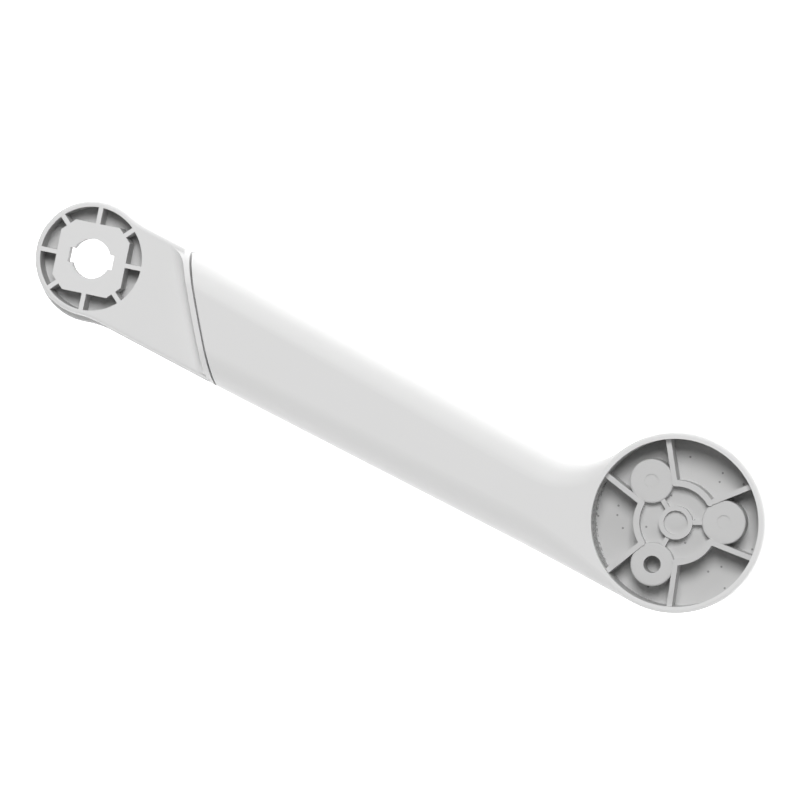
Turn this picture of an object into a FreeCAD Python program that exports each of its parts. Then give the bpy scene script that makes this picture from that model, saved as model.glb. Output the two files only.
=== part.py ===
"""Two-piece crank arm: a long hollow arm with a ribbed hub cup, and a keyed end fitting sliding in its mouth.

Frame: origin at the centre of the hub's back face, +X along the arm towards the keyed end, +Z out of the open
hub cup. Millimetres. Every driving dimension is a cell of the spreadsheet Sizes.
"""

import FreeCAD, Part
import math
import os

import Sketcher
from FreeCAD import Placement, Rotation, Vector

SIZES = {
    # arm envelope
    "upper_start": 0.4,
    "upper_angle": -1.4,
    "lower_angle": 0.7,
    "blank_end": 200.0,
    "arm_height": 20.0,
    "edge_round": 10.0,
    "back_round": 1.0,
    "shell_wall": 2.5,
    "cavity_upper": 1.6,
    "cavity_lower": 27.2,
    "slide_upper": -0.1,
    "slide_lower": 28.3,
    "slide_start": 112.0,
    "hub_radius": 29.5,
    "cup_radius": 27.4,
    "cup_floor": 5.5,
    "rim_round": 1.1,
    "elbow_radius": 22.7,
    "elbow_round": 5.0,
    "blend_length": 48.0,
    "hub_skirt": 30.0,
    # hub ribs, bosses and socket
    "arch_angle": 27.9,
    "arch_radius": 12.9,
    "arch_wall": 2.0,
    "arch_half_span": 30.5,
    "leg_wall": 1.7,
    "leg_spread": 38.4,
    "platform_top": 12.6,
    "boss_soft": 0.6,
    "rib_top": 16.6,
    "boss_circle": 15.7,
    "boss_radius": 7.2,
    "boss_top": 15.9,
    "boss_bore": 2.85,
    "boss_bore_depth": 9.5,
    "dimple_radius": 2.3,
    "dimple_depth": 0.35,
    "ring_radius": 5.5,
    "ring_top": 16.4,
    "socket_radius": 3.95,
    "socket_depth": 1.8,
    "spoke_wall": 1.5,
    "pin_mark_radius": 5.5,
    "pin_mark_circle": 19.3,
    "mark_depth": 0.1,
    "spoke_top": 15.6,
    # oblique mouth of the arm and collar of the fitting
    "seam_radius": 600.0,
    "mouth_upper": 184.9,
    "mouth_lower": 152.3,
    "collar_gap": 0.9,
    "collar_band": 2.2,
    # keyed end
    "pivot_distance": 212.9,
    "end_radius": 19.1,
    "neck_blend": 30.0,
    "neck_face": 15.0,
    "neck_half_width": 17.6,
    "pivot_offset": 13.2,
    "neck_edge": 1.3,
    "scoop_upper": 4.0,
    "scoop_lower": 3.0,
    "half_split": 5.0,
    "cell_radius": 17.25,
    "cell_floor": 6.6,
    "web_flat": 11.8,
    "web_corner": 13.7,
    "web_rib": 1.5,
    "web_depth": 4.0,
    "bore_radius": 6.62,
    "key_angle": 15.9,
    "key_width": 4.8,
    "key_reach": 15.1,
    "back_hole": 10.2,
    "back_radius": 19.8,
    "back_offset": 14.7,
    "back_half_width": 17.3,
    "back_soft": 1.0,
    # spigot, slot and clamp
    "slide_gap": 0.3,
    "spigot_start": 116.0,
    "spigot_wall": 2.3,
    "cover_thickness": 3.0,
    "cover_gap": 0.15,
    "cover_setback": 0.6,
    "post_gap": 0.4,
    "tray_gap": 0.1,
    "clamp_distance": 146.0,
    "post_radius": 4.5,
    "slide_travel": 20.0,
    "clamp_shank": 2.0,
    "clamp_head": 3.8,
    "clamp_length": 13.0,
    "clamp_sink": 1.9,
    # small screws
    "screw_shank": 1.2,
    "screw_head": 2.4,
    "screw_sink": 1.4,
    "screw_length": 9.0,
    "head_inset": 0.1,
    "recess_width": 0.7,
    "recess_share": 0.6,
    "pillar_radius": 3.0,
    # how far cutting solids run past the material, and how far joined solids overlap
    "tool_reach": 40.0,
    "side_margin": 6.0,
    "overlap": 0.5,
}

OUT = "parts"

doc = FreeCAD.newDocument("crank_arm")
sheet = doc.addObject("Spreadsheet::Sheet", "Sizes")
for row, (alias, number) in enumerate(SIZES.items(), start=1):
    sheet.set(f"A{row}", alias)
    sheet.set(f"B{row}", str(number))
    sheet.setAlias(f"B{row}", alias)
doc.recompute()


def size(text):
    """The value, in millimetres or degrees, of an expression over the sheet's aliases."""
    found = sheet.evalExpression(text)
    return float(getattr(found, "Value", found))


def bind(thing, prop, text):
    """Drives a property of an object by an expression; aliases are written <name>."""
    thing.setExpression(prop, text.replace("<", "Sizes.").replace(">", ""))


def number(text):
    return size(text.replace("<", "").replace(">", ""))


UPPER = "(<upper_start> - <side_margin>)"
LOWER = "(<hub_radius> + <side_margin>)"
SLIDE_Y = "((<slide_upper> + <slide_lower>) / 2)"


# ---- sketches ---------------------------------------------------------------------------------------------


def new_sketch(name, body, height):
    """An empty sketch parallel to XY, in a body or loose, at a height given as an expression."""
    if body is None:
        sketch = doc.addObject("Sketcher::SketchObject", name)
        bind(sketch, "Placement.Base.z", height)
    else:
        sketch = body.newObject("Sketcher::SketchObject", name)
        plane = next(f for f in body.Origin.OriginFeatures if f.Role == "XY_Plane")
        sketch.AttachmentSupport = [(plane, "")]
        sketch.MapMode = "FlatFace"
        bind(sketch, "AttachmentOffset.Base.z", height)
    return sketch


def lock(sketch, kind, args, name, text):
    """Adds one dimension to a sketch and drives it by an expression."""
    index = sketch.addConstraint(Sketcher.Constraint(kind, *args, number(text)))
    sketch.renameConstraint(index, name)
    bind(sketch, f"Constraints.{name}", text)


def circle(name, body, height, radius, x="0", y="0"):
    """A sketch of one circle."""
    sketch = new_sketch(name, body, height)
    centre = Vector(number(x), number(y), 0)
    sketch.addGeometry(Part.Circle(centre, Vector(0, 0, 1), number(radius)), False)
    lock(sketch, "Radius", (0,), "radius", radius)
    lock(sketch, "DistanceX", (0, 3), "centre_x", x)
    lock(sketch, "DistanceY", (0, 3), "centre_y", y)
    return sketch


def outline(name, body, height, corners):
    """A sketch of closed loops: each corner is (x, y) or (x, y, radius), an arc from it to the next corner.

    A positive radius bulges to the right of the way round, a negative one to the left; "far" as a fourth
    item takes the longer arc.
    """
    sketch = new_sketch(name, body, height)
    points = [Vector(number(c[0]), number(c[1]), 0) for c in corners]
    ends = []
    for i, corner in enumerate(corners):
        a, b = points[i], points[(i + 1) % len(points)]
        if len(corner) == 2:
            sketch.addGeometry(Part.LineSegment(a, b), False)
            ends.append((1, 2))
            continue
        r = number(corner[2])
        far = len(corner) > 3
        half = (b - a).Length / 2
        along = (b - a).normalize()
        left = Vector(-along.y, along.x, 0)
        reach = math.sqrt(max(r * r - half * half, 0)) * (1 if r > 0 else -1) * (-1 if far else 1)
        centre = (a + b) * 0.5 + left * reach
        start, end = (a, b) if r > 0 else (b, a)
        angles = [math.atan2((p - centre).y, (p - centre).x) for p in (start, end)]
        arc = Part.ArcOfCircle(Part.Circle(centre, Vector(0, 0, 1), abs(r)), *angles)
        sketch.addGeometry(arc, False)
        ends.append((1, 2) if r > 0 else (2, 1))
    for i, corner in enumerate(corners):
        j = (i + 1) % len(corners)
        sketch.addConstraint(Sketcher.Constraint("Coincident", i, ends[i][1], j, ends[j][0]))
        lock(sketch, "DistanceX", (i, ends[i][0]), f"x{i}", corner[0])
        lock(sketch, "DistanceY", (i, ends[i][0]), f"y{i}", corner[1])
        if len(corner) > 2:
            lock(sketch, "Radius", (i,), f"r{i}", corner[2].lstrip("-"))
    return sketch


def polar(radius, angle):
    """The x and y expressions of a point at a radius and an angle, both expressions."""
    return f"({radius}) * cos(({angle}) * 1deg)", f"({radius}) * sin(({angle}) * 1deg)"


def turned(x, y, angle):
    """The x and y expressions of a point turned about the origin."""
    c, s = f"cos(({angle}) * 1deg)", f"sin(({angle}) * 1deg)"
    return f"({x}) * {c} - ({y}) * {s}", f"({x}) * {s} + ({y}) * {c}"


# ---- features ---------------------------------------------------------------------------------------------


def pad(body, sketch, name, length):
    feature = body.newObject("PartDesign::Pad", name)
    feature.Profile = sketch
    bind(feature, "Length", length)
    doc.recompute()
    return feature


def pocket(body, sketch, name, depth, upwards=False):
    """Cuts a sketch down by a depth, or upwards from below; stops if nothing was cut."""
    before = body.Shape.Volume
    feature = body.newObject("PartDesign::Pocket", name)
    feature.Profile = sketch
    feature.Reversed = upwards
    bind(feature, "Length", depth)
    doc.recompute()
    if body.Shape.Volume > before - 1e-6:
        raise RuntimeError(f"{name} cut nothing")
    return feature


def ring_of(body, features, name, count):
    """Repeats features about the body's Z axis over a full turn."""
    pattern = body.newObject("PartDesign::PolarPattern", name)
    pattern.Originals = features
    axis = next(f for f in body.Origin.OriginFeatures if f.Role == "Z_Axis")
    pattern.Axis = (axis, [""])
    pattern.Angle = 360
    pattern.Occurrences = count
    body.Tip = pattern
    doc.recompute()
    return pattern


def extrude(sketch, name, length):
    solid = doc.addObject("Part::Extrusion", name)
    solid.Base = sketch
    solid.DirMode = "Custom"
    solid.Dir = Vector(0, 0, 1)
    solid.Solid = True
    bind(solid, "LengthFwd", length)
    doc.recompute()
    return solid


def combine(kind, name, base, tool):
    solid = doc.addObject(f"Part::{kind}", name)
    solid.Base, solid.Tool = base, tool
    doc.recompute()
    return solid


def block(name, low, high):
    """A box between two corners given as expressions."""
    solid = doc.addObject("Part::Box", name)
    for prop, a, b in zip(("Length", "Width", "Height"), low, high):
        bind(solid, prop, f"({b}) - ({a})")
    for axis, a in zip("xyz", low):
        bind(solid, f"Placement.Base.{axis}", a)
    doc.recompute()
    return solid


def body_on(base, name):
    """A PartDesign body that carries on from a solid."""
    body = doc.addObject("PartDesign::Body", name)
    body.Label = name
    if base is not None:
        body.BaseFeature = base
    doc.recompute()
    return body


# ---- shared envelopes -------------------------------------------------------------------------------------


def seam_side(name, shift):
    """The space on the keyed side of the oblique seam, moved along X by a shift."""
    lower, upper = f"(<mouth_lower> + {shift})", f"(<mouth_upper> + {shift})"
    top, bottom = f"({UPPER} - <tool_reach>)", f"({LOWER} + <tool_reach>)"
    reach = "(<blank_end> + <tool_reach>)"
    corners = [
        (lower, LOWER, "-<seam_radius>"),
        (upper, UPPER),
        (upper, top),
        (reach, top),
        (reach, bottom),
        (lower, bottom),
    ]
    return extrude(outline(f"{name}_plan", None, "-<tool_reach>", corners), name,
                   "<arm_height> + 2 * <tool_reach>")


def arm_slab():
    """The arm's outline, from inside the hub to past the mouth, with edges that tighten towards the hub."""
    slant = "<upper_angle> * 1deg"
    depth = f"(-<upper_start> * cos({slant}) + <elbow_radius>)"
    run = f"sqrt((<hub_radius> + <elbow_radius>) ^ 2 - {depth} ^ 2)"
    centre = (f"({run} * cos({slant}) + {depth} * sin({slant}))",
              f"({run} * sin({slant}) - {depth} * cos({slant}))")
    share = "<hub_radius> / (<hub_radius> + <elbow_radius>)"
    touch = (f"({centre[0]} - <elbow_radius> * sin({slant}))",
             f"({centre[1]} + <elbow_radius> * cos({slant}))")
    rise, fall = f"tan({slant})", "tan(<lower_angle> * 1deg)"
    start = "<hub_radius> / cos(<lower_angle> * 1deg)"
    corners = [
        ("-<hub_radius> * sin(<lower_angle> * 1deg)", "<hub_radius> * cos(<lower_angle> * 1deg)"),
        ("0", "0"),
        (f"{share} * {centre[0]}", f"{share} * {centre[1]}", "-<elbow_radius>"),
        touch,
        (f"{touch[0]} + <blend_length>", f"{touch[1]} + <blend_length> * {rise}"),
        ("<blank_end>", f"{touch[1]} + (<blank_end> - {touch[0]}) * {rise}"),
        ("<blank_end>", f"{start} + <blank_end> * {fall}"),
        ("<blend_length>", f"{start} + <blend_length> * {fall}"),
    ]
    slab = extrude(outline("arm_plan", None, "0", corners), "arm_slab", "<arm_height>")
    elbow, blend, far = number(touch[0]), number("<blend_length>"), number("<blank_end>")
    edges = []
    for i, edge in enumerate(slab.Shape.Edges, start=1):
        first, last = (edge.valueAt(p) for p in edge.ParameterRange)
        inside = min(first.x, last.x) < 1e-6 and min(first.y, last.y) < 1e-6
        outside = max(first.x, last.x) < 1e-6 or min(first.x, last.x) > far - 1e-6
        if abs(first.z - last.z) > 1e-6 or inside or outside:
            continue
        radii = []
        for point in (first, last):
            if point.y > 0:
                wide = "<edge_round>" if point.x > blend - 1e-3 else "<rim_round>"
            elif abs(point.x - elbow) < 1e-3:
                wide = "<elbow_round>"
            else:
                wide = "<edge_round>" if point.x > elbow else "<rim_round>"
            radii.append(number(wide if point.z > 1 else "<back_round>"))
        edges.append((i, *radii))
    return part_fillet(slab, "arm_soft", edges)


def part_fillet(base, name, edges):
    """Rounds numbered edges of a solid, each from one radius to another."""
    rounded = doc.addObject("Part::Fillet", name)
    rounded.Base = base
    rounded.Edges = edges
    doc.recompute()
    return rounded


def soften_top(solid, name, radius, start):
    """Rounds the top edges of an extruded outline, except those that lie wholly before start along X."""
    top = solid.Shape.BoundBox.ZMax
    r = number(radius)
    edges = [(i, r, r) for i, e in enumerate(solid.Shape.Edges, start=1)
             if all(abs(v.Z - top) < 1e-6 for v in e.Vertexes) and max(v.X for v in e.Vertexes) > start]
    return part_fillet(solid, name, edges)


def end_plan(name, low, half, radius, centre="<pivot_offset>"):
    """A sketch of the keyed end's outline: parallel sides that flare into a round end."""
    side = f"({centre} - {half})"
    run = f"sqrt(({radius} + <neck_blend>) ^ 2 - ({half} + <neck_blend>) ^ 2)"
    share = f"{radius} / ({radius} + <neck_blend>)"
    start = (f"<pivot_distance> - {run}", side)
    touch = (f"<pivot_distance> - {share} * {run}", f"({centre} - {share} * ({half} + <neck_blend>))")

    def across(point):
        return point[0], f"(2 * {centre} - {point[1]})"

    corners = [
        ("<slide_start>", side),
        (*start, "-<neck_blend>"),
        (*touch, radius, "far"),
        (*across(touch), "-<neck_blend>"),
        across(start),
        across(("<slide_start>", side)),
    ]
    return outline(name, None, low, corners)


def channel(name, low, high, edge):
    """A bar along X between two corners, with rounded upper edges."""
    bar = block(name, low, high)
    top = number(high[2])
    edges = [(i, number(edge), number(edge)) for i, e in enumerate(bar.Shape.Edges, start=1)
             if e.BoundBox.XLength > 1 and e.BoundBox.YLength + e.BoundBox.ZLength < 1e-6
             and e.BoundBox.ZMax > top - 1e-6]
    return part_fillet(bar, f"{name}_soft", edges)


def strip(name, body, height, start, stop, width, angle, x="0", y="0"):
    """A sketch of a bar from start to stop along a direction through a point."""
    corners = []
    for u, v in ((start, f"-{width} / 2"), (stop, f"-{width} / 2"), (stop, f"{width} / 2"),
                 (start, f"{width} / 2")):
        px, py = turned(f"({u})", f"({v})", angle)
        corners.append((f"{x} + {px}", f"{y} + {py}"))
    return outline(name, body, height, corners)


COVER_SCREWS = (("40", "21"), ("60", "8"), ("104", "8"), ("104", "22"))
END_SCREWS = (("190", "23"), ("171", "25.5"), ("188.5", "11"))


# ---- pieces -----------------------------------------------------------------------------------------------


def cylinder(name, radius, low, high, x="0", y="0"):
    solid = doc.addObject("Part::Cylinder", name)
    bind(solid, "Radius", radius)
    bind(solid, "Height", f"({high}) - ({low})")
    bind(solid, "Placement.Base.x", x)
    bind(solid, "Placement.Base.y", y)
    bind(solid, "Placement.Base.z", low)
    doc.recompute()
    return solid


def arm_space(name, low, high, gap):
    """The arm's inside, wide where the spigot slides and narrower towards the hub, outside the hub's wall."""
    edge = "<edge_round> - <shell_wall>"
    narrow = channel(f"{name}_narrow", ("0", f"<cavity_upper> + {gap}", low),
                     ("<slide_start> + <side_margin>", f"<cavity_lower> - {gap}", high), edge)
    wide = channel(f"{name}_wide", (f"<slide_start> + {gap}", f"<slide_upper> + {gap}", low),
                   ("<blank_end>", f"<slide_lower> - {gap}", high), edge)
    return combine("Cut", f"{name}_space", combine("Fuse", f"{name}_bars", narrow, wide),
                   cylinder(f"{name}_hub", f"<hub_skirt> + {gap}", "-<tool_reach>", "<tool_reach>"))


def arm_shell(soft):
    hub = cylinder("hub_blank", "<hub_radius>", "0", "<arm_height>")
    edges = []
    for i, edge in enumerate(hub.Shape.Edges, start=1):
        if edge.BoundBox.ZLength < 1e-6:
            radius = number("<rim_round>" if edge.BoundBox.ZMin > 1 else "<back_round>")
            edges.append((i, radius, radius))
    blank = combine("Fuse", "arm_blank", soft, part_fillet(hub, "hub_soft", edges))
    blank = combine("Cut", "arm_hollow", blank, arm_space("cavity", "-<overlap>",
                                                          "<arm_height> - <shell_wall>", "0"))
    blank = combine("Cut", "arm_mouth", blank, seam_side("mouth_space", "0"))
    blank = combine("Cut", "arm_cup", blank, cylinder("cup", "<cup_radius>", "<cup_floor>", "<tool_reach>"))
    turn = "<arch_angle> + 60"
    for i in range(3):
        x, y = polar("<boss_circle>", f"{turn} + {120 * i}")
        boss = cylinder(f"boss_{i}", "<boss_radius>", "<cup_floor> - <overlap>", "<boss_top>", x, y)
        radius = number("<boss_soft>")
        top = [(k, radius, radius) for k, e in enumerate(boss.Shape.Edges, start=1)
               if e.BoundBox.ZMin > number("<boss_top>") - 1e-6]
        blank = combine("Fuse", f"boss_join_{i}", blank, part_fillet(boss, f"boss_soft_{i}", top))
    body = body_on(blank, "arm_shell")
    floor = "<cup_floor>"
    pad(body, circle("platform", body, f"{floor} - <overlap>", "<arch_radius>"), "platform_pad",
        f"<platform_top> - {floor} + <overlap>")
    made = []
    low, high = "(<arch_radius> - <arch_wall> / 2)", "(<arch_radius> + <arch_wall> / 2)"
    before, after = "(<arch_angle> - <arch_half_span>)", "(<arch_angle> + <arch_half_span>)"
    ring = [(*polar(high, before), high), polar(high, after),
            (*polar(low, after), f"-{low}"), polar(low, before)]
    made.append(pad(body, outline("arch", body, floor, ring), "arch_wall_pad", f"<rib_top> - {floor}"))
    reach = "(<cup_radius> - <arch_radius> + <overlap>)"
    for side, edge, sign in (("first", before, "-"), ("second", after, "+")):
        x, y = polar("<arch_radius>", edge)
        sketch = strip(f"{side}_leg", body, floor, "0", reach, "<leg_wall>",
                       f"<arch_angle> {sign} <leg_spread>", x, y)
        made.append(pad(body, sketch, f"{side}_leg_pad", f"<rib_top> - {floor}"))
        made.append(pad(body, circle(f"{side}_bend", body, floor, "<arch_wall> / 2", x, y),
                        f"{side}_bend_pad", f"<rib_top> - {floor}"))
    sketch = strip("spoke", body, floor, "<ring_radius> - 1", "<boss_circle> - <boss_radius> + 1",
                   "<spoke_wall>", turn)
    made.append(pad(body, sketch, "spoke_pad", f"<spoke_top> - {floor}"))
    ring_of(body, made, "hub_ribs", 3)
    pad(body, circle("ring", body, floor, "<ring_radius>"), "ring_pad", f"<ring_top> - {floor}")
    pocket(body, circle("socket", body, "<ring_top>", "<socket_radius>"), "socket_hollow", "<socket_depth>")
    x, y = polar("<boss_circle>", turn)
    pocket(body, circle("post_hole", body, "<boss_top>", "<boss_bore>", x, y), "boss_hole",
           "<boss_bore_depth>")
    for i in (1, 2):
        px, py = polar("<boss_circle>", f"{turn} + {120 * i}")
        pocket(body, circle(f"dimple_{i}", body, "<boss_top>", "<dimple_radius>", px, py), f"dimple_cut_{i}",
               "<dimple_depth>")
        px, py = polar("<pin_mark_circle>", f"<arch_angle> + {120 * i}")
        pocket(body, circle(f"pin_mark_{i}", body, floor, "<pin_mark_radius>", px, py), f"pin_mark_cut_{i}",
               "<mark_depth>")
    roof = "(<arm_height> - <shell_wall> + <overlap>)"
    for i, (px, py) in enumerate(COVER_SCREWS):
        pad(body, circle(f"pillar_{i}", body, "<cover_thickness>", "<pillar_radius>", px, py),
            f"pillar_pad_{i}", f"{roof} - <cover_thickness>")
        pocket(body, circle(f"pilot_{i}", body, "<cover_thickness>", "<screw_shank>", px, py),
               f"pilot_hole_{i}", "<screw_length> + <overlap>", upwards=True)
    pad(body, circle("clamp_post", body, "<cover_thickness>", "<post_radius>", "<clamp_distance>", SLIDE_Y),
        "clamp_post_pad", f"{roof} - <cover_thickness>")
    pocket(body, circle("clamp_pilot", body, "<cover_thickness>", "<clamp_shank>", "<clamp_distance>",
                        SLIDE_Y),
           "clamp_hole", "<clamp_length> - <cover_thickness> + <clamp_sink> + <overlap>", upwards=True)
    return body


def arm_back_cover():
    blank = combine("Common", "cover_slice", arm_space("cover", "-<overlap>", "<arm_height> - <shell_wall>",
                                                       "<cover_gap>"),
                    block("cover_layer", ("0", UPPER, "0"), ("<blank_end>", LOWER, "<cover_thickness>")))
    body = body_on(combine("Cut", "cover_trim", blank, seam_side("cover_mouth", "-<cover_setback>")),
                   "arm_back_cover")
    screws = [(x, y, "<screw_shank> + <cover_gap>", "<screw_head> + <cover_gap>", "<screw_sink>")
              for x, y in COVER_SCREWS]
    screws.append(("<clamp_distance>", SLIDE_Y, "<clamp_shank> + <cover_gap>", "<clamp_head> + <cover_gap>",
                   "<clamp_sink>"))
    for i, (x, y, shank, head, sink) in enumerate(screws):
        pocket(body, circle(f"cover_hole_{i}", body, "0", shank, x, y), f"cover_cut_{i}",
               "<cover_thickness>", upwards=True)
        pocket(body, circle(f"cover_sink_{i}", body, "0", head, x, y), f"cover_sink_cut_{i}", sink,
               upwards=True)
    return body


def end_fitting(soft):
    shift = "<collar_gap>"
    side = block("collar_bar", ("<spigot_start>", UPPER, "0"), ("<blank_end>", LOWER, "<arm_height>"))
    side = combine("Common", "collar_space", side, seam_side("collar_near", shift))
    collar = combine("Cut", "collar_ring", side, seam_side("collar_far", f"{shift} + <collar_band>"))
    beyond = f"{shift} + <collar_band> - <overlap>"
    neck = extrude(end_plan("neck_plan", "<half_split>", "<neck_half_width>", "<end_radius>"), "neck_slab",
                   "<neck_face> - <half_split>")
    neck = soften_top(neck, "neck_soft", "<neck_edge>", number("<mouth_lower>"))
    neck = combine("Common", "neck_trim", neck, seam_side("neck_space", beyond))
    half = "(<neck_half_width> - <neck_edge>)"
    ledge = block("ledge_bar", ("<spigot_start>", f"<pivot_offset> - {half}", "<half_split>"),
                  ("<mouth_upper> + 2 * <scoop_upper>", f"<pivot_offset> + {half}", "<neck_face>"))
    ledge = combine("Common", "ledge", ledge, seam_side("ledge_space", beyond))
    first = combine("Fuse", "collar_and_ledge", collar, ledge)
    face = number("<neck_face>")
    edges = []
    for i, edge in enumerate(first.Shape.Edges, start=1):
        box = edge.BoundBox
        if box.ZLength < 1e-3 and abs(box.ZMax - face) < 1e-3 and box.YLength > 15 and box.XLength > 5:
            ends = [edge.valueAt(p).y for p in edge.ParameterRange]
            radii = [number("<scoop_upper>" if y < 10 else "<scoop_lower>") for y in ends]
            edges.append((i, *radii))
    scooped = combine("Common", "collar_soft", part_fillet(first, "scoop", edges), soft)
    scooped = combine("Fuse", "neck_and_collar", scooped, neck)
    gap, inner = "<slide_gap>", "(<slide_gap> + <spigot_wall>)"
    roof = "(<arm_height> - <shell_wall> - <slide_gap>)"
    edge = "<edge_round> - <shell_wall> - <slide_gap>"
    spigot = channel("spigot_bar", ("<spigot_start>", f"<slide_upper> + {gap}", f"<cover_thickness> + {gap}"),
                     ("<blank_end>", f"<slide_lower> - {gap}", roof), edge)
    spigot = combine("Cut", "spigot_trim", spigot, seam_side("spigot_end", f"{shift} + <collar_band> / 2"))
    hollow = channel("spigot_hollow", ("<slide_start>", f"<slide_upper> + {inner}", "-<overlap>"),
                     ("<blank_end>", f"<slide_lower> - {inner}", f"{roof} - <spigot_wall>"),
                     f"{edge} - <spigot_wall>")
    hollow = combine("Cut", "spigot_hollow_trim", hollow, seam_side("hollow_end", "-<overlap>"))
    tube = combine("Cut", "spigot_tube", spigot, hollow)
    body = body_on(combine("Fuse", "fitting_blank", scooped, tube), "end_fitting")
    half = "(<post_radius> + <post_gap>)"
    near = "<clamp_distance> - <slide_travel>"
    pocket(body, strip("slot", body, "<arm_height>", near, "<clamp_distance>", f"2 * {half}", "0", "0",
                       SLIDE_Y),
           "slot_cut", "<arm_height> / 2")
    for i, x in enumerate((near, "<clamp_distance>")):
        pocket(body, circle(f"slot_end_{i}", body, "<arm_height>", half, x, SLIDE_Y), f"slot_end_cut_{i}",
               "<arm_height> / 2")
    px, py = "<pivot_distance>", "<pivot_offset>"
    pocket(body, circle("cells", body, "<neck_face>", "<cell_radius>", px, py), "cells_cut",
           "<neck_face> - <cell_floor>")
    t = "(<web_corner> * sqrt(2) - <web_flat>)"
    octagon = []
    for u, v in (("<web_flat>", f"-{t}"), ("<web_flat>", t), (t, "<web_flat>"), (f"-{t}", "<web_flat>"),
                 ("-<web_flat>", t), ("-<web_flat>", f"-{t}"), (f"-{t}", "-<web_flat>"), (t, "-<web_flat>")):
        x, y = turned(u, v, "<key_angle>")
        octagon.append((f"{px} + {x}", f"{py} + {y}"))
    pad(body, outline("web", body, "<cell_floor>", octagon), "web_pad", "<neck_face> - <cell_floor>")
    for i in range(4):
        sketch = strip(f"web_rib_{i}", body, "<cell_floor>", "-<cell_radius> - <overlap>",
                       "<cell_radius> + <overlap>",
                       "<web_rib>", f"<key_angle> + {45 * i}", px, py)
        pad(body, sketch, f"web_rib_pad_{i}", "<neck_face> - <cell_floor>")
    pocket(body, circle("bore", body, "<neck_face>", "<bore_radius>", px, py), "bore_cut", "<neck_face>")
    pocket(body, strip("key", body, "<neck_face>", "-<key_reach> / 2", "<key_reach> / 2", "<key_width>",
                       "<key_angle>", px, py), "key_cut", "<neck_face>")
    pocket(body, circle("relief", body, "<half_split>", "<back_hole>", px, py), "relief_cut",
           "<neck_face> - <web_depth> - <half_split>", upwards=True)
    for i, (x, y) in enumerate(END_SCREWS):
        pocket(body, circle(f"end_pilot_{i}", body, "<half_split>", "<screw_shank>", x, y),
               f"end_pilot_cut_{i}",
               "<screw_length> - <half_split> + <screw_sink> + <overlap>", upwards=True)
    return body


def end_back():
    tray = extrude(end_plan("tray_plan", "0", "<back_half_width>", "<back_radius>", "<back_offset>"),
                   "tray_slab", "<half_split>")
    tray = soften_top(tray, "tray_soft", "<back_soft>", number("<mouth_lower>"))
    trim = combine("Common", "tray_trim", tray,
                   seam_side("tray_space", "<collar_gap> + <collar_band> + <tray_gap>"))
    body = body_on(trim, "end_back")
    pocket(body, circle("tray_hole", body, "<half_split>", "<back_hole>", "<pivot_distance>",
                        "<pivot_offset>"),
           "tray_hole_cut", "<half_split>")
    for i, (x, y) in enumerate(END_SCREWS):
        pocket(body, circle(f"end_hole_{i}", body, "0", "<screw_shank> + <cover_gap>", x, y), f"end_cut_{i}",
               "<half_split>",
               upwards=True)
        pocket(body, circle(f"end_sink_{i}", body, "0", "<screw_head> + <cover_gap>", x, y),
               f"end_sink_cut_{i}",
               "<screw_sink>", upwards=True)
    return body


def screw(name, x, y, shank, head, sink, length):
    """A pan-head screw driven in from the back: head, shank and a cross recess."""
    body = body_on(None, name)
    bind(body, "Placement.Base.x", x)
    bind(body, "Placement.Base.y", y)
    pad(body, circle(f"{name}_head", body, "<head_inset>", head), f"{name}_head_pad",
        f"{sink} - <head_inset>")
    pad(body, circle(f"{name}_shank", body, sink, shank), f"{name}_shank_pad", length)
    for i in range(2):
        pocket(body, strip(f"{name}_slot_{i}", body, "<head_inset>", f"-{head} * <recess_share>",
                           f"{head} * <recess_share>", "<recess_width>", str(90 * i)),
               f"{name}_slot_cut_{i}", f"({sink}) * <recess_share>", upwards=True)
    return body


def main():
    soft = arm_slab()
    bodies = [arm_shell(soft), arm_back_cover(), end_fitting(soft), end_back()]
    for label, places in (("cover", COVER_SCREWS), ("end", END_SCREWS)):
        for i, (x, y) in enumerate(places, start=1):
            bodies.append(screw(f"{label}_screw_{i}", x, y, "<screw_shank>", "<screw_head>", "<screw_sink>",
                                "<screw_length>"))
    bodies.append(screw("clamp_screw", "<clamp_distance>", SLIDE_Y, "<clamp_shank>", "<clamp_head>",
                        "<clamp_sink>", "<clamp_length>"))
    doc.recompute()
    for thing in doc.Objects:
        if "Invalid" in thing.State or "Error" in thing.State:
            raise RuntimeError(f"{thing.Label}: {thing.State}")
    os.makedirs(OUT, exist_ok=True)
    for body in bodies:
        shape = body.Shape
        if shape.isNull() or not shape.isValid() or len(shape.Solids) != 1:
            raise RuntimeError(f"{body.Label}: not one valid solid")
        shape.exportStep(f"{OUT}/{body.Label}.step")
        box = shape.BoundBox
        print(body.Label, round(shape.Volume), [round(v, 1) for v in (box.XMin, box.XMax, box.YMin,
                                                                      box.YMax)])


main()
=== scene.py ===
"""Looks for a two-piece moulded crank arm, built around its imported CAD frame."""

import math

import bpy
from mathutils import Matrix, Vector


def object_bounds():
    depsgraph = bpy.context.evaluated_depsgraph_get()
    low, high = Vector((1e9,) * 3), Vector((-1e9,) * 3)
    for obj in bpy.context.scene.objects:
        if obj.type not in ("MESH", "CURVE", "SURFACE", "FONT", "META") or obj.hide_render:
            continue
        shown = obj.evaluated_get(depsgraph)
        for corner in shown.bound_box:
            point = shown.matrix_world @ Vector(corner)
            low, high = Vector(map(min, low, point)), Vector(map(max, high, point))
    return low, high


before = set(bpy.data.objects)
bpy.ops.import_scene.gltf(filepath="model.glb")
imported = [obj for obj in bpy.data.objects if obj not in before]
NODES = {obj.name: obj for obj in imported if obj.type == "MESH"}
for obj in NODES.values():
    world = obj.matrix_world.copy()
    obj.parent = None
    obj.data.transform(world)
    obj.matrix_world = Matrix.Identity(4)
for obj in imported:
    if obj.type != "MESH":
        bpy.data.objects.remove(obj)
CAD_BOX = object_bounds()
MM = 0.001

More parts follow.
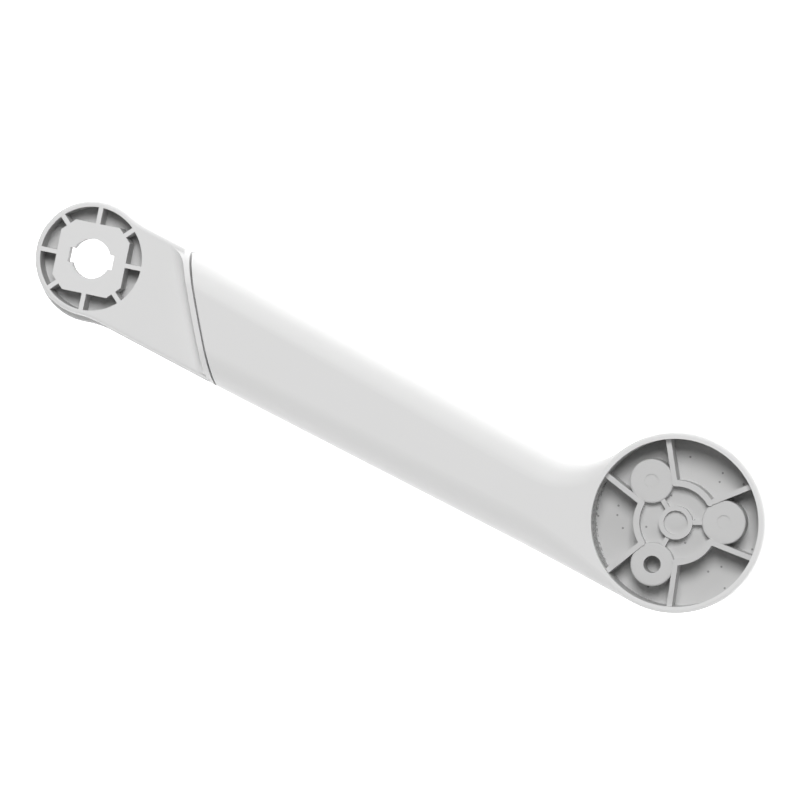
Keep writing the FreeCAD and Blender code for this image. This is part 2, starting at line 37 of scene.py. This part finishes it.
# Where dirt and painted shade lie, in the frame's axes: both in the hub's cup about the origin, painted shade
# alone in the cells about the pivot.
CUP_REACH = 27.45 * MM
CUP_LOW, CUP_HIGH = 4 * MM, 17 * MM
SPECK_TOP = 12.9 * MM
GRIME_REACH = 26.9 * MM
GRIME_SIDE = (0.884, 0.468)
GRIME_START = 22.5 * MM
GRIME_GAPS = 0.53
PIVOT = (212.9 * MM, 13.2 * MM)
CELL_REACH = 17.4 * MM
CELL_HIGH = 14.7 * MM

TINT_LOW, TINT_HIGH = 0.985, 1.015
SHEEN_SPREAD = 0.05
GRAIN_DEPTH = 0.05 * MM
HAZE_LESS, HAZE_MORE = 0.08, 0.12
TURNING_DEPTH = 0.02 * MM

MIDDLE = Vector((99.937 * MM, 7.091 * MM, 10 * MM))
FLOOR_REACH = 2.0
FLOOR_GAP = 0.5 * MM
FLOOR_GLOW = 1.1
LIGHT_DISTANCE = 4
KEY_LEAN_ACROSS = 0.3

bl_info = {
    "name": "Moulded Crank Arm",
    "version": (1, 0, 0),
    "blender": (4, 5, 0),
    "location": "View3D > Sidebar > Crank Arm",
    "description": "Finishes a two-piece moulded crank arm and sets its stage",
    "category": "Object",
}


# ---- properties -------------------------------------------------------------------------------------------


class PlasticFinish(bpy.types.PropertyGroup):
    """The white moulded plastic of the arm and its end."""

    shade: bpy.props.FloatVectorProperty(
        name="Shade", description="Base colour of the moulded plastic", subtype="COLOR",
        size=3, min=0.0, max=1.0, default=(0.76, 0.76, 0.758))
    roughness: bpy.props.FloatProperty(
        name="Roughness", description="How matt the moulded face is", default=0.58, min=0.0, max=1.0,
        subtype="FACTOR")
    grain: bpy.props.FloatProperty(
        name="Grain", description="Size of the spark-eroded grain left by the mould", default=0.35 * MM,
        min=0.05 * MM, max=2 * MM, unit="LENGTH")
    grain_height: bpy.props.FloatProperty(
        name="Grain Height", description="Strength of the mould grain", default=0.06, min=0.0, max=1.0,
        subtype="FACTOR")
    # Strength of the darkening, which is dirt and painted shade together.
    dirt_and_shade: bpy.props.FloatProperty(
        name="Soil", description="How dark the dirt is", default=0.62, min=0.0, max=1.0,
        subtype="FACTOR")
    # Painted shade: an even darkening over the hub's cup, for the shade inside the hollow.
    painted_cup_shade: bpy.props.FloatProperty(
        name="Film", description="How much of the soil lies as an even film over the cup", default=0.34,
        min=0.0, max=1.0, subtype="FACTOR")
    # Painted shade: an even darkening of the keyed end's cells, for the shade inside them.
    painted_cell_shade: bpy.props.FloatProperty(
        name="Cell Film", description="How much of the soil lies in the keyed end's cells", default=0.36,
        min=0.0, max=1.0, subtype="FACTOR")
    speck_spacing: bpy.props.FloatProperty(
        name="Speck Spacing", description="Distance between specks of dirt", default=9.5 * MM, min=1 * MM,
        unit="LENGTH")
    speck_size: bpy.props.FloatProperty(
        name="Speck Size", description="Width of a speck as a share of the spacing", default=0.038, min=0.0,
        max=1.0, subtype="FACTOR")


class ScrewFinish(bpy.types.PropertyGroup):
    """The plated steel of the screws."""

    shade: bpy.props.FloatVectorProperty(
        name="Shade", description="Colour of the plating", subtype="COLOR", size=3, min=0.0, max=1.0,
        default=(0.56, 0.56, 0.58))
    roughness: bpy.props.FloatProperty(
        name="Roughness", description="How dull the plating is", default=0.32, min=0.0, max=1.0,
        subtype="FACTOR")


class StudioSetup(bpy.types.PropertyGroup):
    """Camera and lights over the arm."""

    distance: bpy.props.FloatProperty(
        name="Camera Distance", description="From the arm to the camera", default=1.8, min=0.3, unit="LENGTH")
    tilt: bpy.props.FloatProperty(
        name="Camera Tilt", description="Lean of the view off the hub axis", default=math.radians(8.6),
        unit="ROTATION")
    turn: bpy.props.FloatProperty(
        name="Camera Turn", description="Turn of the picture about the hub axis",
        default=math.radians(-152.409), unit="ROTATION")
    lens: bpy.props.FloatProperty(
        name="Lens", description="Focal length", default=245.6, min=20.0, unit="CAMERA")
    key_power: bpy.props.FloatProperty(
        name="Key Light", description="Power of the large soft light", default=114.0, min=0.0, unit="POWER")
    key_angle: bpy.props.FloatProperty(
        name="Key Angle", description="Lean of the large soft light off the vertical",
        default=math.radians(24), unit="ROTATION")
    fill_power: bpy.props.FloatProperty(
        name="Fill Light", description="Power of the light from below the picture", default=20.0, min=0.0,
        unit="POWER")
    fill_angle: bpy.props.FloatProperty(
        name="Fill Angle", description="Lean of the fill light off the vertical",
        default=math.radians(60), unit="ROTATION")
    key_size: bpy.props.FloatProperty(
        name="Key Size", description="Width of the large soft light", default=1.7, min=0.01, unit="LENGTH")
    horizon: bpy.props.FloatProperty(
        name="Horizon", description="Strength of the light from low down all round", default=0.6, min=0.0)
    zenith: bpy.props.FloatProperty(
        name="Zenith", description="Strength of the light from straight above", default=0.05, min=0.0)


# ---- materials --------------------------------------------------------------------------------------------


def new_finish(name):
    """A material with an empty node tree but for its shader and output."""
    finish = bpy.data.materials.new(name)
    finish.use_nodes = True
    tree = finish.node_tree
    shader = next(n for n in tree.nodes if n.type == "BSDF_PRINCIPLED")
    return finish, tree, shader


def add(tree, kind, **inputs):
    """A shader node with its inputs set by name."""
    node = tree.nodes.new(kind)
    for key, value in inputs.items():
        node.inputs[key.replace("_", " ")].default_value = value
    return node


def maths(tree, operation, *terms):
    """A math node's output over sockets and plain numbers."""
    node = tree.nodes.new("ShaderNodeMath")
    node.operation = operation
    for socket, term in zip(node.inputs, terms):
        if isinstance(term, (int, float)):
            socket.default_value = term
        else:
            tree.links.new(term, socket)
    return node.outputs["Value"]


def distance(tree, x, y):
    """How far the point at two sockets lies from the origin of its plane."""
    squares = maths(tree, "MULTIPLY", x, x), maths(tree, "MULTIPLY", y, y)
    return maths(tree, "SQRT", maths(tree, "ADD", *squares))


def spread(tree, source, low, high):
    """A node that maps zero to one onto low to high."""
    node = tree.nodes.new("ShaderNodeMapRange")
    node.inputs["To Min"].default_value = low
    node.inputs["To Max"].default_value = high
    tree.links.new(source, node.inputs["Value"])
    return node


def cup_dirt_and_shade(tree, place, axes, settings):
    """How dark the hub's cup is made: an even painted shade over the cup, scattered specks of dirt, and
    ragged grime where the arm meets its wall.
    """
    x, y, z = axes
    radius = distance(tree, x, y)
    below, above = maths(tree, "LESS_THAN", z, CUP_HIGH), maths(tree, "GREATER_THAN", z, CUP_LOW)
    deep = maths(tree, "MULTIPLY", below, above)
    inside = maths(tree, "MULTIPLY", maths(tree, "LESS_THAN", radius, CUP_REACH), deep)
    dots = add(tree, "ShaderNodeTexVoronoi", Scale=1 / settings.speck_spacing)
    dots.voronoi_dimensions = "2D"
    tree.links.new(place, dots.inputs["Vector"])
    small = maths(tree, "LESS_THAN", dots.outputs["Distance"], settings.speck_size)
    on_floor = maths(tree, "LESS_THAN", z, SPECK_TOP)
    specks = maths(tree, "MULTIPLY", maths(tree, "MULTIPLY", small, inside), on_floor)
    near_wall = maths(tree, "GREATER_THAN", radius, GRIME_REACH)
    shares = (maths(tree, "MULTIPLY", axis, share) for axis, share in zip((x, y), GRIME_SIDE))
    towards_arm = maths(tree, "ADD", *shares)
    arm_side = maths(tree, "GREATER_THAN", towards_arm, GRIME_START)
    ragged = add(tree, "ShaderNodeTexNoise", Scale=900.0, Detail=4.0, Roughness=0.7)
    tree.links.new(place, ragged.inputs["Vector"])
    patches = maths(tree, "GREATER_THAN", ragged.outputs["Fac"], GRIME_GAPS)
    band = maths(tree, "MULTIPLY", maths(tree, "MULTIPLY", near_wall, arm_side), inside)
    # Painted shade: the whole cup darkened evenly.
    painted_cup_shade = maths(tree, "MULTIPLY", inside, settings.painted_cup_shade)
    spots = maths(tree, "MAXIMUM", specks, maths(tree, "MULTIPLY", band, patches))
    return maths(tree, "MAXIMUM", painted_cup_shade, spots)


def cell_painted_shade(tree, axes, settings):
    """Painted shade in the keyed end: an even darkening below its rim, out to the cells' outer wall."""
    x, y, z = axes
    along, over = maths(tree, "SUBTRACT", x, PIVOT[0]), maths(tree, "SUBTRACT", y, PIVOT[1])
    # Painted shade: everything within reach of the pivot and below the rim is darkened evenly.
    cells = maths(tree, "MULTIPLY", maths(tree, "LESS_THAN", distance(tree, along, over), CELL_REACH),
                  maths(tree, "LESS_THAN", z, CELL_HIGH))
    return maths(tree, "MULTIPLY", cells, settings.painted_cell_shade)


def dirt_and_shade(tree, place, settings):
    """How much dirt and painted shade darken the plastic at a point, from none at zero to full at one."""
    parts = tree.nodes.new("ShaderNodeSeparateXYZ")
    tree.links.new(place, parts.inputs["Vector"])
    axes = tuple(parts.outputs[axis] for axis in "XYZ")
    return maths(tree, "MAXIMUM", cup_dirt_and_shade(tree, place, axes, settings), cell_painted_shade(tree, axes, settings))


def moulded_plastic(settings):
    """White moulded plastic: fine spark grain, faint flow marks and a slightly uneven sheen."""
    finish, tree, shader = new_finish("white_moulded_plastic")
    link = tree.links.new
    place = tree.nodes.new("ShaderNodeTexCoord")
    flow = add(tree, "ShaderNodeTexNoise", Scale=28.0, Detail=3.0)
    link(place.outputs["Object"], flow.inputs["Vector"])
    tint = spread(tree, flow.outputs["Fac"], TINT_LOW, TINT_HIGH)
    colour = tree.nodes.new("ShaderNodeVectorMath")
    colour.operation = "SCALE"
    colour.inputs[0].default_value = settings.shade
    # Darkens the colour by dirt and painted shade together.
    darkening = maths(tree, "MULTIPLY", dirt_and_shade(tree, place.outputs["Object"], settings), settings.dirt_and_shade)
    undarkened = maths(tree, "SUBTRACT", 1.0, darkening)
    link(maths(tree, "MULTIPLY", tint.outputs["Result"], undarkened), colour.inputs["Scale"])
    link(colour.outputs["Vector"], shader.inputs["Base Color"])
    matt = settings.roughness
    sheen = spread(tree, flow.outputs["Fac"], matt - SHEEN_SPREAD, matt + SHEEN_SPREAD)
    link(sheen.outputs["Result"], shader.inputs["Roughness"])
    grain = add(tree, "ShaderNodeTexNoise", Scale=1 / settings.grain, Detail=2.0)
    link(place.outputs["Object"], grain.inputs["Vector"])
    bump = add(tree, "ShaderNodeBump", Strength=settings.grain_height, Distance=GRAIN_DEPTH)
    link(grain.outputs["Fac"], bump.inputs["Height"])
    link(bump.outputs["Normal"], shader.inputs["Normal"])
    shader.inputs["IOR"].default_value = 1.5
    return finish


def plated_steel(settings):
    """Zinc-plated steel with fine turning marks."""
    finish, tree, shader = new_finish("plated_steel")
    link = tree.links.new
    place = tree.nodes.new("ShaderNodeTexCoord")
    haze = add(tree, "ShaderNodeTexNoise", Scale=900.0, Detail=4.0)
    link(place.outputs["Object"], haze.inputs["Vector"])
    dull = spread(tree, haze.outputs["Fac"], settings.roughness - HAZE_LESS, settings.roughness + HAZE_MORE)
    link(dull.outputs["Result"], shader.inputs["Roughness"])
    bump = add(tree, "ShaderNodeBump", Strength=0.1, Distance=TURNING_DEPTH)
    link(haze.outputs["Fac"], bump.inputs["Height"])
    link(bump.outputs["Normal"], shader.inputs["Normal"])
    shader.inputs["Base Color"].default_value = (*settings.shade, 1.0)
    shader.inputs["Metallic"].default_value = 1.0
    return finish


def dress(node, finish):
    """Gives a CAD node one finish."""
    mesh = NODES[node].data
    mesh.materials.clear()
    mesh.materials.append(finish)


# ---- stage ------------------------------------------------------------------------------------------------


def place_camera(scene, studio):
    """Adds the camera and gives the picture's up and across directions."""
    right = Vector((math.cos(studio.turn), math.sin(studio.turn), 0))
    up = Vector((-right.y, right.x, 0))
    back = Vector((0, 0, math.cos(studio.tilt))) + right * math.sin(studio.tilt)
    camera = bpy.data.objects.new("camera", bpy.data.cameras.new("camera"))
    scene.collection.objects.link(camera)
    camera.data.lens = studio.lens
    camera.data.clip_start = 0.01
    camera.data.clip_end = 20
    camera.location = MIDDLE + back * studio.distance
    up = (up - back * up.dot(back)).normalized()
    across = up.cross(back)
    camera.matrix_world = Matrix.Translation(camera.location) @ Matrix(
        (across, up, back)).transposed().to_4x4()
    scene.camera = camera
    return up, across


def lay_floor(scene):
    """Lays a glowing white sheet just under the arm."""
    mesh = bpy.data.meshes.new("floor")
    reach, drop = FLOOR_REACH, CAD_BOX[0].z - FLOOR_GAP
    corners = ((-reach, -reach), (reach, -reach), (reach, reach), (-reach, reach))
    mesh.from_pydata([(x, y, drop) for x, y in corners], [], [(0, 1, 2, 3)])
    floor = bpy.data.objects.new("floor", mesh)
    scene.collection.objects.link(floor)
    paper, tree, shader = new_finish("floor_paper")
    shader.inputs["Base Color"].default_value = (0.93, 0.93, 0.93, 1)
    shader.inputs["Roughness"].default_value = 0.9
    shader.inputs["Emission Color"].default_value = (1, 1, 1, 1)
    shader.inputs["Emission Strength"].default_value = FLOOR_GLOW
    mesh.materials.append(paper)


def surround(scene, studio):
    """Lights the arm from all round, more from low down than from above."""
    world = bpy.data.worlds.new("studio")
    world.use_nodes = True
    tree = world.node_tree
    sky = next(n for n in tree.nodes if n.type == "BACKGROUND")
    sky.inputs["Color"].default_value = (1, 1, 1, 1)
    way = tree.nodes.new("ShaderNodeTexCoord")
    parts = tree.nodes.new("ShaderNodeSeparateXYZ")
    tree.links.new(way.outputs["Generated"], parts.inputs["Vector"])
    fade = spread(tree, parts.outputs["Z"], studio.horizon, studio.zenith)
    fade.interpolation_type = "SMOOTHSTEP"
    tree.links.new(fade.outputs["Result"], sky.inputs["Strength"])
    scene.world = world


def soft_light(name, way, angle, power, size):
    """A round soft light that leans off the vertical and faces the middle of the arm."""
    light = bpy.data.objects.new(name, bpy.data.lights.new(name, "AREA"))
    bpy.context.scene.collection.objects.link(light)
    light.data.shape = "DISK"
    light.data.size = size
    light.data.energy = power
    flat = Vector((way.x, way.y, 0)).normalized()
    aim = Vector((0, 0, math.cos(angle))) + flat * math.sin(angle)
    light.location = MIDDLE + aim * LIGHT_DISTANCE
    light.rotation_mode = "QUATERNION"
    light.rotation_quaternion = aim.to_track_quat("Z", "Y")


# ---- operators --------------------------------------------------------------------------------------------


class FinishPlastic(bpy.types.Operator):
    """Finish the moulded plastic pieces"""

    bl_idname = "crank_arm.finish_plastic"
    bl_label = "Finish Plastic"
    bl_options = {"REGISTER", "UNDO"}

    def execute(self, context):
        finish = moulded_plastic(context.scene.crank_plastic)
        for node in ("arm_shell", "arm_back_cover", "end_fitting", "end_back"):
            dress(node, finish)
        return {"FINISHED"}


class FinishScrews(bpy.types.Operator):
    """Finish the screws"""

    bl_idname = "crank_arm.finish_screws"
    bl_label = "Finish Screws"
    bl_options = {"REGISTER", "UNDO"}

    def execute(self, context):
        finish = plated_steel(context.scene.crank_screws)
        for node in NODES:
            if "screw" in node:
                dress(node, finish)
        return {"FINISHED"}


class BuildStage(bpy.types.Operator):
    """Set the floor, the lights and the camera"""

    bl_idname = "crank_arm.build_stage"
    bl_label = "Build Stage"
    bl_options = {"REGISTER", "UNDO"}

    def execute(self, context):
        scene, studio = context.scene, context.scene.crank_studio
        up, across = place_camera(scene, studio)
        lay_floor(scene)
        surround(scene, studio)
        key_way = up + across * KEY_LEAN_ACROSS
        soft_light("key_light", key_way, studio.key_angle, studio.key_power, studio.key_size)
        soft_light("fill_light", -up, studio.fill_angle, studio.fill_power, studio.key_size)
        scene.view_settings.view_transform = "Standard"
        return {"FINISHED"}


class CrankArmPanel(bpy.types.Panel):
    """Lists the arm's building steps"""

    bl_idname = "VIEW3D_PT_crank_arm"
    bl_label = "Crank Arm"
    bl_space_type = "VIEW_3D"
    bl_region_type = "UI"
    bl_category = "Crank Arm"

    def draw(self, context):
        layout = self.layout
        for step in STEPS:
            layout.operator(step.bl_idname)


STEPS = (FinishPlastic, FinishScrews, BuildStage)
SETTINGS = (("crank_plastic", PlasticFinish), ("crank_screws", ScrewFinish), ("crank_studio", StudioSetup))


def register():
    for name, group in SETTINGS:
        bpy.utils.register_class(group)
        setattr(bpy.types.Scene, name, bpy.props.PointerProperty(type=group))
    for step in (*STEPS, CrankArmPanel):
        bpy.utils.register_class(step)


def unregister():
    for step in reversed((*STEPS, CrankArmPanel)):
        bpy.utils.unregister_class(step)
    for name, group in reversed(SETTINGS):
        delattr(bpy.types.Scene, name)
        bpy.utils.unregister_class(group)


def main():
    register()
    bpy.ops.crank_arm.finish_plastic()
    bpy.ops.crank_arm.finish_screws()
    bpy.ops.crank_arm.build_stage()


if __name__ == "__main__":
    main()
